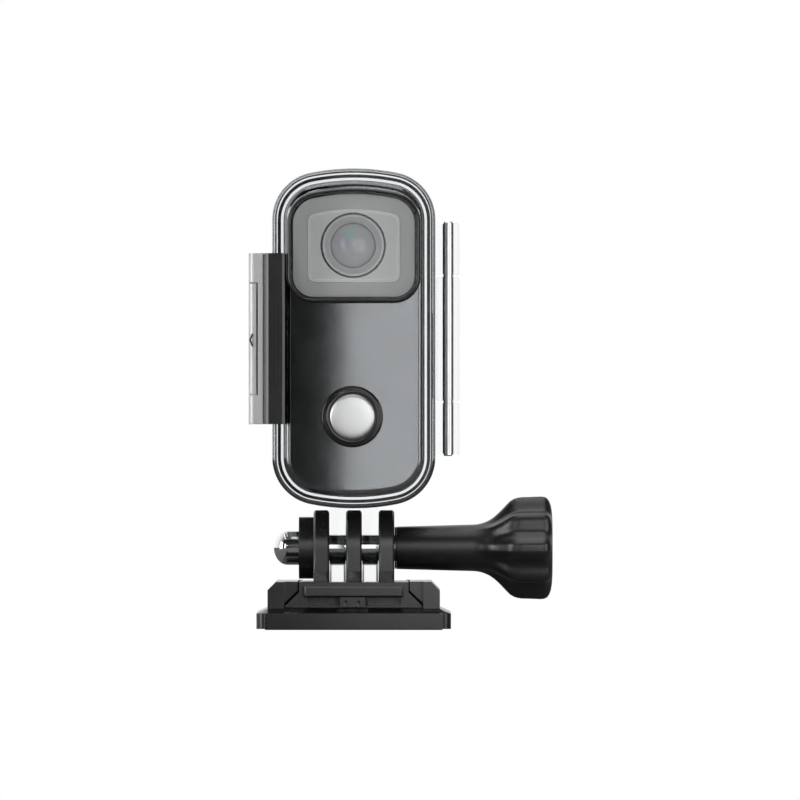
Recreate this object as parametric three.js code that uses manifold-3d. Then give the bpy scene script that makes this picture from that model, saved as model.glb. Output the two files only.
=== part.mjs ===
// A thumb-size action camera in its clear waterproof case.
// It stands on a quick-release buckle and a stick-down base.
// Millimetres, +Z up, the front looks along -Y. The origin is the middle of the pad's underside.
import * as THREE from "three";
import { mergeVertices } from "three/addons/utils/BufferGeometryUtils.js";
import Module from "manifold-3d";

const wasm = await Module();
wasm.setup();

// ---- Outlines in the XZ plane: half width, top, bottom, and the radii of each end's crown and corners
const FLAT = Infinity;
const CORNER_STEPS = 6;
const CROWN_STEPS = 6;
const CASE_OUTLINE = {
  half: 15.5, top: 87.6, bottom: 23,
  crown: 42, corner: 9, lowCrown: 42, lowCorner: 9,
};
const WINDOW = {
  half: 11.45, top: 82.65, bottom: 63.3,
  crown: 37.05, corner: 4.8, lowCrown: FLAT, lowCorner: 3.8,
};
const MASK = {
  half: 8.36, top: 79.5, bottom: 66.4,
  crown: 33.9, corner: 1.2, lowCrown: FLAT, lowCorner: 1,
};

// ---- Depths of the case and of the camera in it
const CASE_FRONT = -12.5;
const CASE_SPLIT = 4;
const CASE_BACK = 12.8;
const CASE_WALL = 1.9;
const CASE_EDGE = 1.4;
const CASE_GAP = 0.45;
const SPLIT_GAP = 0.05;
const CAMERA_FRONT = -10;
const CAMERA_SPLIT = 1;
const CAMERA_BACK = 10;
const CAMERA_WALL = 1.3;
const CAMERA_FACE = 1.5;
const CAMERA_EDGE = 1;
const CAMERA_INSET = CASE_WALL + CASE_GAP;
const CUSHION_INNER = 4.6;

// ---- Places of the features on the front
const LENS = { x: -0.1, z: 73 };
const BUTTON = { x: -0.28, z: 40.43 };

// ---- Window frame, gasket and pocket, as insets from the window's outline
const POCKET = -1.4;
const FRAME_OUTER = -1.3;
const PLATE_EDGE = -0.7;
const SKIRT_INNER = -0.75;
const FRAME_PROUD = 1.5;
const POCKET_DEEP = 1;

// ---- Tilting joint between the case and the buckle, along X
const TILT_Z = 15.4;
const FINGER_R = 7.2;
const FINGER_THICK = 3;
const FINGER_PITCH = 6.2;
const CLEAR_FINGERS = [-FINGER_PITCH / 2, FINGER_PITCH / 2];
const BUCKLE_FINGERS = [-FINGER_PITCH, 0, FINGER_PITCH];
const STUD_R = 2.5;
const STUD_HOLE_R = 2.7;
const TROUGH_R = 7.6;

// ---- Door hinge at the right
const HINGE = { x: 17.95, y: CASE_SPLIT, r: 2.2, pin: 0.85, hole: 0.9 };
const END_KNUCKLES = [[33.2, 43.2], [67.4, 77.4]];
const MIDDLE_KNUCKLE = [43.45, 67.15];

// ---- Latch at the left
const LATCH = { low: 39, high: 71.5, outer: -20, inner: -17.1, front: -12.2 };
const LATCH_PIVOT = { x: -18.55, y: 9.5, r: 1.45, pin: 0.7, hole: 0.75 };
const LATCH_LUGS = [[45, 49], [61.5, 65.5]];
const SLIDER = { low: 44.65, high: 65.75, inner: -18.5, back: -2 };
const CATCH = {
  outer: -17, leg: -15.6, inner: -13.1, front: -14, rear: -6.5,
  grooves: [-16.2, -15.4, -14.6, -13.8],
  grooveLow: 46, grooveHigh: 61, grooveWide: 0.4, grooveDeep: 0.25,
};

// ---- Base and buckle
const BASE = {
  halfX: 18.45, halfY: 20.5, low: 0.2, high: 4.05,
  corner: 2, chamferWide: 2.1, chamferHigh: 0.9,
};
const PAD_INSET = 1.6;
const PAD_TOP = 0.95;
const RAIL = { outer: 16.35, inner: 13.2, high: 9.1, chamfer: 1.6, halfLong: 18.2 };
const RAIL_LIP = { inner: 10.65, low: 7.4, foot: 4.9, front: -12.5 };
const STOP = { front: 18.5, back: 20, high: 6.4, cornerInner: 9.95 };
const SINK = 0.5;
const RUNNER = {
  half: 13, low: 4.2, shoulder: 4.55, deckHalf: 10.4,
  rampTop: 7.1, high: 9, front: -15.5, back: 16,
};
const LIP = { half: 9.4, low: 6.2, high: 8.25, front: -18 };
const LIP_TAB = {
  left: -2.6, right: 2.2, low: 4.3,
  slots: [-1.5, 0.95], slotWide: 0.56, slotLow: 4.5, slotHigh: 5.5,
};
const LEG = { middle: 7.9, half: 1.8, front: 15, back: 18.2, low: 5, high: 9 };
const SLIT = { middle: 5.4, half: 0.5, front: 10.5, back: 19, low: 3, high: 12 };
const NUT = { across: 8, pocketAcross: 8.4, left: -10.35, right: -8.2, bossR: 5.9, bossLeft: -10.5 };

// ---- Thumb screw
const NECK_START = 8.05;
const STUD = { left: -13.4, right: 24.3 };
const KNOB_STEPS = 64;

const finishes = {
  clear: { color: 0xdfe6ea, roughness: 0.08, metalness: 0 },
  blackGloss: { color: 0x101113, roughness: 0.2, metalness: 0 },
  black: { color: 0x1d1e20, roughness: 0.5, metalness: 0 },
  rubber: { color: 0x0b0b0c, roughness: 0.85, metalness: 0 },
  grey: { color: 0xa9abad, roughness: 0.4, metalness: 0 },
  cameraBody: { color: 0x2a2c30, roughness: 0.25, metalness: 0.6 },
  panel: { color: 0x848586, roughness: 0.3, metalness: 0 },
  lens: { color: 0x10161a, roughness: 0.05, metalness: 0 },
  chrome: { color: 0xd8dadc, roughness: 0.08, metalness: 1 },
  steel: { color: 0xb4b6b8, roughness: 0.3, metalness: 1 },
  board: { color: 0x1f5a3a, roughness: 0.6, metalness: 0 },
  battery: { color: 0x3b5f9a, roughness: 0.5, metalness: 0 },
  foam: { color: 0x3a3a3a, roughness: 0.95, metalness: 0 },
};

// ---- Solids from three.js geometry

function solidFrom(geometry) {
  const bare = geometry.index ? geometry.toNonIndexed() : geometry.clone();
  bare.deleteAttribute("normal");
  bare.deleteAttribute("uv");
  const merged = mergeVertices(bare, 1e-4);
  const order = merged.index.array;
  const kept = [];
  for (let i = 0; i < order.length; i += 3) {
    const [a, b, c] = [order[i], order[i + 1], order[i + 2]];
    if (a !== b && b !== c && c !== a) kept.push(a, b, c);
  }
  const vertProperties = merged.attributes.position.array;
  const build = (list) =>
    new wasm.Manifold(new wasm.Mesh({ numProp: 3, vertProperties, triVerts: new Uint32Array(list) }));
  const solid = build(kept);
  return solid.volume() < 0 ? build(kept.reverse()) : solid;
}

const union = (...solids) => solids.reduce((sum, next) => sum.add(next));
const cut = (solid, ...tools) => tools.reduce((rest, tool) => rest.subtract(tool), solid);

const X_AXIS = new THREE.Vector3(1, 0, 0);
const Y_AXIS = new THREE.Vector3(0, 1, 0);
const Z_AXIS = new THREE.Vector3(0, 0, 1);
const ALONG_X = new THREE.Matrix4().makeBasis(Y_AXIS, Z_AXIS, X_AXIS);
const ALONG_Y = new THREE.Matrix4().makeBasis(X_AXIS, Z_AXIS, new THREE.Vector3(0, -1, 0));
const ALONG_Z = new THREE.Matrix4();

// A plate whose outline is drawn across an axis, from low to high along it.
// round is the size of its edges' rounding.
function plate(points, low, high, turn, round = 0, segments = 3) {
  const shape = new THREE.Shape(points);
  const geometry = new THREE.ExtrudeGeometry(shape, {
    depth: high - low - 2 * round,
    bevelEnabled: round > 0,
    bevelThickness: round,
    bevelSize: round,
    bevelOffset: -round,
    bevelSegments: segments,
    curveSegments: 1,
  });
  geometry.translate(0, 0, (turn === ALONG_Y ? -high : low) + round);
  return solidFrom(geometry.applyMatrix4(turn));
}

const plateX = (points, low, high, round, segments) => plate(points, low, high, ALONG_X, round, segments);
const plateY = (points, low, high, round, segments) => plate(points, low, high, ALONG_Y, round, segments);
const plateZ = (points, low, high, round, segments) => plate(points, low, high, ALONG_Z, round, segments);

function box(lowX, highX, lowY, highY, lowZ, highZ) {
  const geometry = new THREE.BoxGeometry(highX - lowX, highY - lowY, highZ - lowZ);
  geometry.translate((lowX + highX) / 2, (lowY + highY) / 2, (lowZ + highZ) / 2);
  return solidFrom(geometry);
}

function arc(x, y, r, from, to, steps) {
  const points = [];
  for (let i = 0; i <= steps; i++) {
    const angle = from + ((to - from) * i) / steps;
    points.push(new THREE.Vector2(x + r * Math.cos(angle), y + r * Math.sin(angle)));
  }
  return points;
}

const circle = (x, y, r, steps) => arc(x, y, r, 0, 2 * Math.PI, steps).slice(0, -1);
const barX = (y, z, r, low, high, steps = 24) => plateX(circle(y, z, r, steps), low, high);
const barY = (x, z, r, low, high, steps = 24) => plateY(circle(x, z, r, steps), low, high);
const barZ = (x, y, r, low, high, steps = 20) => plateZ(circle(x, y, r, steps), low, high);
const corners = (...pairs) => pairs.map(([x, y]) => new THREE.Vector2(x, y));
const mirrored = (points) => points.map((p) => new THREE.Vector2(-p.x, p.y));

// A solid of revolution about a line along Y through a spot. Each profile corner is [radius, y].
function turnedY(profile, spot, steps = 32) {
  const geometry = new THREE.LatheGeometry(corners(...profile), steps);
  return solidFrom(geometry.translate(spot.x, 0, spot.z));
}

// A solid of revolution about the tilting joint's line.
// Each profile corner is [radius, distance from start], measured along the given sign of X.
function turnedX(profile, start, sign, steps = 32) {
  const geometry = new THREE.LatheGeometry(corners(...profile), steps);
  geometry.applyMatrix4(new THREE.Matrix4().makeBasis(Z_AXIS, new THREE.Vector3(sign, 0, 0), Y_AXIS));
  return solidFrom(geometry.translate(start, 0, TILT_Z));
}

// A straight-sided solid between two outlines of equal point counts at two heights.
function loft(lowPoints, lowZ, highPoints, highZ) {
  const count = lowPoints.length;
  const positions = [];
  const push = (...list) => list.forEach((v) => positions.push(v.x, v.y, v.z));
  const at = (points, i, z) => new THREE.Vector3(points[i % count].x, points[i % count].y, z);
  for (let i = 0; i < count; i++) {
    const [a, b] = [at(lowPoints, i, lowZ), at(lowPoints, i + 1, lowZ)];
    const [c, d] = [at(highPoints, i, highZ), at(highPoints, i + 1, highZ)];
    push(a, b, d, a, d, c);
    if (i > 0 && i < count - 1) {
      push(at(lowPoints, 0, lowZ), b, a, at(highPoints, 0, highZ), c, d);
    }
  }
  const geometry = new THREE.BufferGeometry();
  geometry.setAttribute("position", new THREE.Float32BufferAttribute(positions, 3));
  return solidFrom(geometry);
}

// One end of an outline, from its +X side to its -X side: a corner, the crown and the other corner.
function endPoints(half, edge, crown, corner) {
  const quarter = Math.PI / 2;
  const flat = crown === FLAT;
  const centreX = half - corner;
  const crownZ = flat ? 0 : edge - crown;
  const centreZ = flat ? edge - corner : crownZ + Math.sqrt((crown - corner) ** 2 - centreX ** 2);
  const lean = flat ? quarter : Math.atan2(centreZ - crownZ, centreX);
  const points = arc(centreX, centreZ, corner, 0, lean, CORNER_STEPS);
  if (!flat) points.push(...arc(0, crownZ, crown, lean, Math.PI - lean, CROWN_STEPS).slice(1, -1));
  return points.concat(arc(-centreX, centreZ, corner, Math.PI - lean, Math.PI, CORNER_STEPS));
}

function outline(o, inset = 0) {
  const half = o.half - inset;
  const top = endPoints(half, o.top - inset, o.crown - inset, o.corner - inset);
  const low = endPoints(half, -o.bottom - inset, o.lowCrown - inset, o.lowCorner - inset);
  return top.concat(low.map((p) => new THREE.Vector2(-p.x, -p.y)));
}

function ring(o, outer, inner, low, high) {
  return cut(plateY(outline(o, outer), low, high), plateY(outline(o, inner), low - 1, high + 1));
}

function roundedRect(halfX, halfY, r, steps = 5) {
  const quarter = Math.PI / 2;
  return [
    ...arc(halfX - r, halfY - r, r, 0, quarter, steps),
    ...arc(r - halfX, halfY - r, r, quarter, 2 * quarter, steps),
    ...arc(r - halfX, r - halfY, r, 2 * quarter, 3 * quarter, steps),
    ...arc(halfX - r, r - halfY, r, 3 * quarter, 4 * quarter, steps),
  ];
}

const group = new THREE.Group();

function place(name, solid, finish) {
  const mesh = solid.getMesh();
  const geometry = new THREE.BufferGeometry();
  geometry.setAttribute("position", new THREE.BufferAttribute(mesh.vertProperties, 3));
  geometry.setIndex(new THREE.BufferAttribute(mesh.triVerts, 1));
  const made = new THREE.Mesh(geometry.toNonIndexed(), new THREE.MeshStandardMaterial(finishes[finish]));
  made.geometry.computeVertexNormals();
  made.name = name;
  group.add(made);
}

// ---- Base

function mountBase() {
  const plan = roundedRect(BASE.halfX, BASE.halfY, BASE.corner);
  const foot = plateZ(plan, BASE.low, BASE.high - BASE.chamferHigh);
  const brow = loft(
    plan,
    BASE.high - BASE.chamferHigh,
    roundedRect(BASE.halfX - BASE.chamferWide, BASE.halfY - BASE.chamferWide, 0.3),
    BASE.high,
  );
  const rail = corners(
    [RAIL.inner, BASE.high - SINK],
    [RAIL.outer, BASE.high - SINK],
    [RAIL.outer, RAIL.high - RAIL.chamfer],
    [RAIL.outer - RAIL.chamfer, RAIL.high],
    [RAIL.inner, RAIL.high],
  );
  const lip = corners(
    [RAIL.inner + 0.1, RAIL_LIP.foot],
    [RAIL.inner + 0.1, RAIL.high],
    [RAIL_LIP.inner, RAIL.high],
    [RAIL_LIP.inner, RAIL_LIP.low],
  );
  const pieces = [foot, brow];
  for (const side of [(points) => points, mirrored]) {
    pieces.push(plateY(side(rail), -RAIL.halfLong, RAIL.halfLong));
    pieces.push(plateY(side(lip), RAIL_LIP.front, RAIL.halfLong));
    const [low, high] = [BASE.high - SINK, RAIL.high];
    const corner = corners(
      [STOP.cornerInner, low],
      [RAIL.outer, low],
      [RAIL.outer, high - RAIL.chamfer],
      [RAIL.outer - RAIL.chamfer, high],
      [STOP.cornerInner, high],
    );
    pieces.push(plateY(side(corner), STOP.front - 0.4, STOP.back));
  }
  pieces.push(box(-RAIL.inner, RAIL.inner, STOP.front, STOP.back, BASE.high - SINK, STOP.high));
  const recess = roundedRect(BASE.halfX - PAD_INSET + 0.1, BASE.halfY - PAD_INSET + 0.1, 1.4);
  return cut(union(...pieces), plateZ(recess, -1, 1));
}

function adhesivePad() {
  return plateZ(roundedRect(BASE.halfX - PAD_INSET, BASE.halfY - PAD_INSET, 1.3), 0, PAD_TOP);
}

// ---- Buckle

function buckleFinger(middle) {
  const side = [
    ...arc(0, TILT_Z, FINGER_R, 0, Math.PI, 18),
    ...corners([-FINGER_R, 11], [-9.4, 8.6], [9.4, 8.6], [FINGER_R, 11]),
  ];
  return plateX(side, middle - FINGER_THICK / 2, middle + FINGER_THICK / 2, 0.35, 1);
}

function frontLip() {
  const { half, low, high, front } = LIP;
  const back = RUNNER.front + 0.2;
  const lip = plateY(corners([-half, low], [half, low], [half, high], [-half, high]), front, back, 0.3, 1);
  const top = low + 0.2;
  const wings = corners([-9, top], [-8, 5.2], [-4, 4.7], [4, 4.7], [8, 5.2], [9, top]);
  const { left, right, slotWide, slotLow, slotHigh } = LIP_TAB;
  const tab = corners([left, LIP_TAB.low], [right, LIP_TAB.low], [right, top], [left, top]);
  const slots = LIP_TAB.slots.map((x) =>
    box(x - slotWide / 2, x + slotWide / 2, front, front + 1.1, slotLow, slotHigh),
  );
  return cut(union(lip, plateY(wings, front + 1.6, back), plateY(tab, front + 0.5, back)), ...slots);
}

function buckle() {
  const half = corners(
    [RUNNER.half, RUNNER.low],
    [RUNNER.half, RUNNER.shoulder],
    [RUNNER.deckHalf, RUNNER.rampTop],
    [RUNNER.deckHalf, RUNNER.high],
  );
  const section = [...half, ...mirrored(half).reverse()];
  const pair = (b) =>
    [-b.middle, b.middle].map((x) => box(x - b.half, x + b.half, b.front, b.back, b.low, b.high));
  const body = union(
    plateY(section, RUNNER.front, RUNNER.back),
    frontLip(),
    ...BUCKLE_FINGERS.map(buckleFinger),
    barX(0, TILT_Z, NUT.bossR, NUT.bossLeft, -7.5, 28),
    ...pair(LEG),
  );
  const trough = CLEAR_FINGERS.map((x) => barX(0, TILT_Z, TROUGH_R, x - 1.6, x + 1.6, 40));
  const studHole = barX(0, TILT_Z, STUD_HOLE_R, -12, 9, 32);
  return cut(body, studHole, hexBar(NUT.pocketAcross, -11, -7.9), ...trough, ...pair(SLIT));
}

function hexBar(acrossFlats, low, high) {
  const r = acrossFlats / Math.sqrt(3);
  const points = arc(0, TILT_Z, r, 0, 2 * Math.PI, 6).slice(0, -1);
  return plateX(points, low, high);
}

function captiveNut() {
  const [r, shoulder, flattening] = [3.25, 2.35, 0.8];
  const dome = [[0, 0], [r, 0], [r, shoulder]];
  for (const p of arc(0, 0, r, 0, Math.PI / 2, 6).slice(1)) {
    dome.push([p.x, shoulder + p.y * flattening]);
  }
  dome[dome.length - 1][0] = 0;
  const cap = turnedX(dome, NUT.left + 0.05, -1);
  const body = union(hexBar(NUT.across, NUT.left, NUT.right), cap);
  return cut(body, barX(0, TILT_Z, STUD_HOLE_R - 0.1, -14, -7));
}

// ---- Thumb screw

const stud = () => barX(0, TILT_Z, STUD_R, STUD.left, STUD.right, 32);
const washer = () => cut(barX(0, TILT_Z, 4, 7.75, 8), barX(0, TILT_Z, STUD_HOLE_R, 7, 9));

// The knob's radius at an angle: round where grow is 0, and four big and four small ridges where it is 1.
function lobe(radius, grow, angle) {
  const ridged = 8.475 + 0.55 * Math.cos(4 * angle) + 0.775 * Math.cos(8 * angle);
  return radius * (1 + grow * (Math.min(ridged, 9.65) / 9.65 - 1));
}

// Each profile corner is [radius, distance along the knob, grow].
function knob() {
  const profile = [
    [0, 0, 0],
    [4.05, 0, 0],
    [4.45, 15.15, 0],
    [4.95, 17, 0.25],
    [6.1, 19, 0.65],
    [8.25, 21, 0.93],
    [9.5, 22.6, 1],
    [9.8, 28.4, 1],
    [8.9, 29.4, 1],
    [7.2, 29.8, 1],
    [0, 29.8, 1],
  ];
  const geometry = new THREE.LatheGeometry(corners(...profile), KNOB_STEPS);
  const position = geometry.attributes.position;
  for (let i = 0; i < position.count; i++) {
    const [radius, , grow] = profile[i % profile.length];
    const angle = (Math.floor(i / profile.length) / KNOB_STEPS) * 2 * Math.PI;
    const r = lobe(radius, grow, angle);
    position.setX(i, r * Math.sin(angle));
    position.setZ(i, r * Math.cos(angle));
  }
  geometry.applyMatrix4(new THREE.Matrix4().makeBasis(Z_AXIS, X_AXIS, Y_AXIS));
  const grip = solidFrom(geometry.translate(NECK_START, 0, TILT_Z));
  return cut(grip, barX(0, TILT_Z, STUD_R + 0.06, 7, STUD.right + 0.3, 32));
}

// ---- Waterproof case

function clearFinger(middle) {
  const rear = 3.9;
  const lean = Math.acos(rear / FINGER_R);
  const side = [
    ...arc(0, TILT_Z, FINGER_R, Math.PI, 2 * Math.PI + lean, 26),
    ...corners([rear, 24.2], [-FINGER_R, 24.2]),
  ];
  return plateX(side, middle - FINGER_THICK / 2, middle + FINGER_THICK / 2, 0.25, 1);
}

function frontShell() {
  const whole = plateY(outline(CASE_OUTLINE), CASE_FRONT, CASE_SPLIT + 4, CASE_EDGE);
  const kept = box(-30, 30, -30, CASE_SPLIT - SPLIT_GAP, 0, 100);
  const webs = END_KNUCKLES.map(([low, high]) => box(14.6, HINGE.x, 1.8, 3.9, low, high));
  const knuckles = END_KNUCKLES.map(([low, high]) => barZ(HINGE.x, HINGE.y, HINGE.r, low, high));
  const body = union(whole.intersect(kept), ...webs, ...knuckles, ...CLEAR_FINGERS.map(clearFinger));
  return cut(
    body,
    plateY(outline(CASE_OUTLINE, CASE_WALL), CASE_FRONT + CASE_WALL, CASE_SPLIT + 9),
    plateY(outline(WINDOW, POCKET), CASE_FRONT - 1, CASE_FRONT + POCKET_DEEP),
    plateY(outline(WINDOW), CASE_FRONT - 1, CASE_FRONT + 3),
    barY(BUTTON.x, BUTTON.z, 5, CASE_FRONT - 1, CASE_FRONT + 0.5, 32),
    barY(BUTTON.x, BUTTON.z, 3.3, CASE_FRONT - 1, CASE_FRONT + 3, 28),
    barX(0, TILT_Z, STUD_HOLE_R, -12, 9, 32),
    barZ(HINGE.x, HINGE.y, HINGE.hole, 30, 80, 16),
  );
}

function rearDoor() {
  const whole = plateY(outline(CASE_OUTLINE), CASE_SPLIT - 4, CASE_BACK, CASE_EDGE);
  const kept = box(-30, 30, CASE_SPLIT, 30, 0, 100);
  const [low, high] = MIDDLE_KNUCKLE;
  const lugs = LATCH_LUGS.flatMap(([from, to]) => [
    box(LATCH_PIVOT.x, -14.6, LATCH_PIVOT.y - 1.4, LATCH_PIVOT.y + 1.4, from, to),
    barZ(LATCH_PIVOT.x, LATCH_PIVOT.y, LATCH_PIVOT.r, from, to),
  ]);
  const body = union(
    whole.intersect(kept),
    box(14.6, HINGE.x, CASE_SPLIT + 0.1, 6.1, low, high),
    barZ(HINGE.x, HINGE.y, HINGE.r, low, high),
    ...lugs,
  );
  return cut(
    body,
    plateY(outline(CASE_OUTLINE, CASE_WALL), 0, CASE_BACK - CASE_WALL),
    ring(CASE_OUTLINE, 0.55, 1.3, CASE_SPLIT - 1, CASE_SPLIT + 0.6),
    barZ(HINGE.x, HINGE.y, HINGE.hole, 30, 80, 16),
    barZ(LATCH_PIVOT.x, LATCH_PIVOT.y, LATCH_PIVOT.hole, 38, 73, 16),
  );
}

// A soft frame inside the door that the camera's back rests against.
const doorCushion = () =>
  ring(CASE_OUTLINE, CASE_WALL + 0.1, CUSHION_INNER, CAMERA_BACK + 0.1, CASE_BACK - CASE_WALL - 0.1);

const doorGasket = () => ring(CASE_OUTLINE, 0.62, 1.22, CASE_SPLIT, CASE_SPLIT + 0.55);
const hingePin = () => barZ(HINGE.x, HINGE.y, HINGE.pin, 32.9, 77.7, 16);
const windowGasket = () => ring(WINDOW, -0.65, -0.1, CASE_FRONT + 0.7, CASE_FRONT + POCKET_DEEP - 0.02);
const lensWindow = () => plateY(outline(WINDOW, PLATE_EDGE), CASE_FRONT - 0.15, CASE_FRONT + 0.65);

function windowFrame() {
  const front = CASE_FRONT - FRAME_PROUD;
  const bezel = plateY(outline(WINDOW, FRAME_OUTER), front, CASE_FRONT + POCKET_DEEP - 0.05 + 1, 0.4, 2);
  const kept = box(-20, 20, -20, CASE_FRONT + POCKET_DEEP - 0.05, 50, 95);
  return cut(
    bezel.intersect(kept),
    plateY(outline(WINDOW), front - 1, CASE_FRONT + 3),
    plateY(outline(WINDOW, SKIRT_INNER), CASE_FRONT - 0.2, CASE_FRONT + 3),
  );
}

// ---- Latch

// An angle piece on the front shell's left edge, with upright grooves in its face.
function latchCatch() {
  const { outer, leg, inner, front, rear, grooveWide, grooveDeep, grooveLow, grooveHigh } = CATCH;
  const plan = corners(
    [outer, front + 0.6],
    [outer + 0.6, front],
    [inner - 0.3, front],
    [inner, front + 0.3],
    [inner, CASE_FRONT - 0.05],
    [leg, CASE_FRONT - 0.05],
    [leg, rear],
    [outer, rear],
  );
  const grooves = CATCH.grooves.map((x) =>
    box(x - grooveWide / 2, x + grooveWide / 2, front - 1, front + grooveDeep, grooveLow, grooveHigh),
  );
  return cut(plateZ(plan, LATCH.low, LATCH.high), ...grooves);
}

function latchClip() {
  const { low, high, outer, inner, front } = LATCH;
  const strip = box(outer, inner, front, LATCH_PIVOT.y, low, high);
  const heel = barZ(LATCH_PIVOT.x, LATCH_PIVOT.y, LATCH_PIVOT.r, low, high);
  const lugRoom = LATCH_LUGS.map(([from, to]) =>
    box(-22, -16, LATCH_PIVOT.y - 2.1, 12, from - 0.25, to + 0.25),
  );
  const track = box(
    -22, SLIDER.inner + 0.12,
    front - 1, SLIDER.back + 2.8,
    SLIDER.low - 0.15, SLIDER.high + 0.15,
  );
  return cut(
    union(strip, heel),
    ...lugRoom,
    track,
    barZ(LATCH_PIVOT.x, LATCH_PIVOT.y, LATCH_PIVOT.hole, 38, 73, 16),
  );
}

const latchPin = () => barZ(LATCH_PIVOT.x, LATCH_PIVOT.y, LATCH_PIVOT.pin, 39.3, 71.2, 16);
const lockSlider = () =>
  box(LATCH.outer, SLIDER.inner, LATCH.front, SLIDER.back, SLIDER.low, SLIDER.high);

function sliderMark() {
  const points = corners(
    [-19.9, 55],
    [-19.35, 56.3],
    [-19.1, 56.1],
    [-19.55, 55],
    [-19.1, 53.9],
    [-19.35, 53.7],
  );
  return plateY(points, LATCH.front - 0.2, LATCH.front - 0.02);
}

// ---- Case button

function buttonCollar() {
  return turnedY([
    [1.32, -12.3], [4.45, -12.3], [4.45, -13.05], [4.6, -13.2], [4.9, -13.2],
    [5, -13], [5.3, -13], [5.4, -13.15], [5.6, -13.15], [5.85, -12.9], [5.85, -12.55],
    [4.9, -12.55], [4.9, -12.05], [3.2, -12.05], [3.2, -11], [2.2, -11], [2.2, -11.9],
    [1.32, -11.9], [1.32, -12.3],
  ], BUTTON, 28);
}

function buttonCap() {
  return turnedY(
    [[0, -14.15], [2.5, -14.1], [3.8, -13.95], [4.25, -13.7], [4.25, -13.45], [0, -13.45]],
    BUTTON,
  );
}

const buttonStem = () => barY(BUTTON.x, BUTTON.z, 1.2, -13.43, -10.7);

// A closed ring of square section about a line along Y.
const turnedRing = (inner, outer, front, back, spot, steps) =>
  turnedY([[inner, front], [outer, front], [outer, back], [inner, back], [inner, front]], spot, steps);

const oRing = () => turnedRing(1.3, 2.12, -11.75, -11.3, BUTTON, 20);

function stemClip() {
  const disc = turnedRing(1.23, 2, -10.96, -10.76, BUTTON, 24);
  return cut(disc, box(BUTTON.x - 0.9, BUTTON.x + 0.9, -12, -10, BUTTON.z - 3, BUTTON.z));
}

class Coil extends THREE.Curve {
  constructor(spot, radius, start, rise, turns) {
    super();
    Object.assign(this, { spot, radius, start, rise, turns });
  }
  getPoint(t, target = new THREE.Vector3()) {
    const angle = t * this.turns * 2 * Math.PI;
    return target.set(
      this.spot.x + this.radius * Math.cos(angle),
      this.start + this.rise * t,
      this.spot.z + this.radius * Math.sin(angle),
    );
  }
}

function buttonSpring() {
  const path = new Coil(BUTTON, 2.6, -13.22, 0.7, 1.8);
  const wire = new THREE.Shape(circle(0, 0, 0.17, 5));
  return solidFrom(new THREE.ExtrudeGeometry(wire, { steps: 28, extrudePath: path, bevelEnabled: false }));
}

// ---- Camera

const SCREWS = [[-9.3, 32.5], [9.3, 32.5], [-9.3, 78.5], [9.3, 78.5]];
const POST_R = 1.9;
const cameraOutline = (inset = 0) => outline(CASE_OUTLINE, CAMERA_INSET + inset);

function cameraFrontShell() {
  const whole = plateY(cameraOutline(), CAMERA_FRONT, CAMERA_SPLIT + 3, CAMERA_EDGE, 2);
  const kept = box(-30, 30, -30, CAMERA_SPLIT - SPLIT_GAP, 0, 100);
  const hollow = plateY(cameraOutline(CAMERA_WALL), CAMERA_FRONT + CAMERA_FACE, CAMERA_SPLIT + 5);
  const posts = SCREWS.map(([x, z]) =>
    barY(x, z, POST_R, CAMERA_FRONT + CAMERA_FACE - 0.2, CAMERA_SPLIT - SPLIT_GAP, 12),
  );
  return cut(
    union(cut(whole.intersect(kept), hollow), ...posts),
    plateY(outline(WINDOW, 0.15), CAMERA_FRONT - 1, CAMERA_FRONT + 0.9),
    barY(LENS.x, LENS.z, 5.6, CAMERA_FRONT - 1, CAMERA_FRONT + 3, 32),
    barY(BUTTON.x, BUTTON.z, 2.75, CAMERA_FRONT - 1, CAMERA_FRONT + 3),
    ...SCREWS.map(([x, z]) => barY(x, z, 0.85, -5, 5, 10)),
  );
}

function cameraRearShell() {
  const whole = plateY(cameraOutline(), CAMERA_SPLIT - 3, CAMERA_BACK, CAMERA_EDGE, 2);
  const kept = box(-30, 30, CAMERA_SPLIT, 30, 0, 100);
  const hollow = plateY(cameraOutline(CAMERA_WALL), CAMERA_SPLIT - 5, CAMERA_BACK - CAMERA_FACE);
  const posts = SCREWS.map(([x, z]) => barY(x, z, POST_R, CAMERA_SPLIT, CAMERA_BACK - 1, 12));
  return cut(
    union(cut(whole.intersect(kept), hollow), ...posts),
    ...SCREWS.map(([x, z]) => barY(x, z, 0.85, -5, 20, 10)),
    ...SCREWS.map(([x, z]) => barY(x, z, 1.5, CAMERA_BACK - 0.9, CAMERA_BACK + 1, 16)),
    box(12.1, 20, 2.4, 8.6, 43.9, 60.1),
  );
}

function cameraScrew([x, z]) {
  const head = barY(x, z, 1.4, CAMERA_BACK - 0.85, CAMERA_BACK - 0.1, 14);
  return union(head, barY(x, z, 0.75, -4, CAMERA_BACK - 0.5, 10));
}

const portCover = () => box(12.15, 13.1, 2.5, 8.5, 44, 60);

function lensPanel() {
  const slab = plateY(outline(WINDOW, 0.25), CAMERA_FRONT - 0.35, CAMERA_FRONT + 0.85);
  return cut(slab, plateY(outline(MASK, -0.05), CAMERA_FRONT - 2, CAMERA_FRONT + 2));
}

function lensMask() {
  const slab = plateY(outline(MASK), CAMERA_FRONT - 0.45, CAMERA_FRONT + 0.85);
  const dish = plateY(outline(MASK, 0.8), CAMERA_FRONT - 2, CAMERA_FRONT - 0.15);
  return cut(slab, dish, barY(LENS.x, LENS.z, 6.25, -20, 0, 40));
}

const lensTurned = (profile, steps) => turnedY(profile, LENS, steps);
const lensRing = () => turnedRing(5.45, 6.15, -10.3, -9.15, LENS, 32);

const frontGlass = () =>
  lensTurned([[0, -10], [5.3, -9.9], [5.38, -9.75], [5.38, -9.15], [0, -9.15]], 32);

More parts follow.
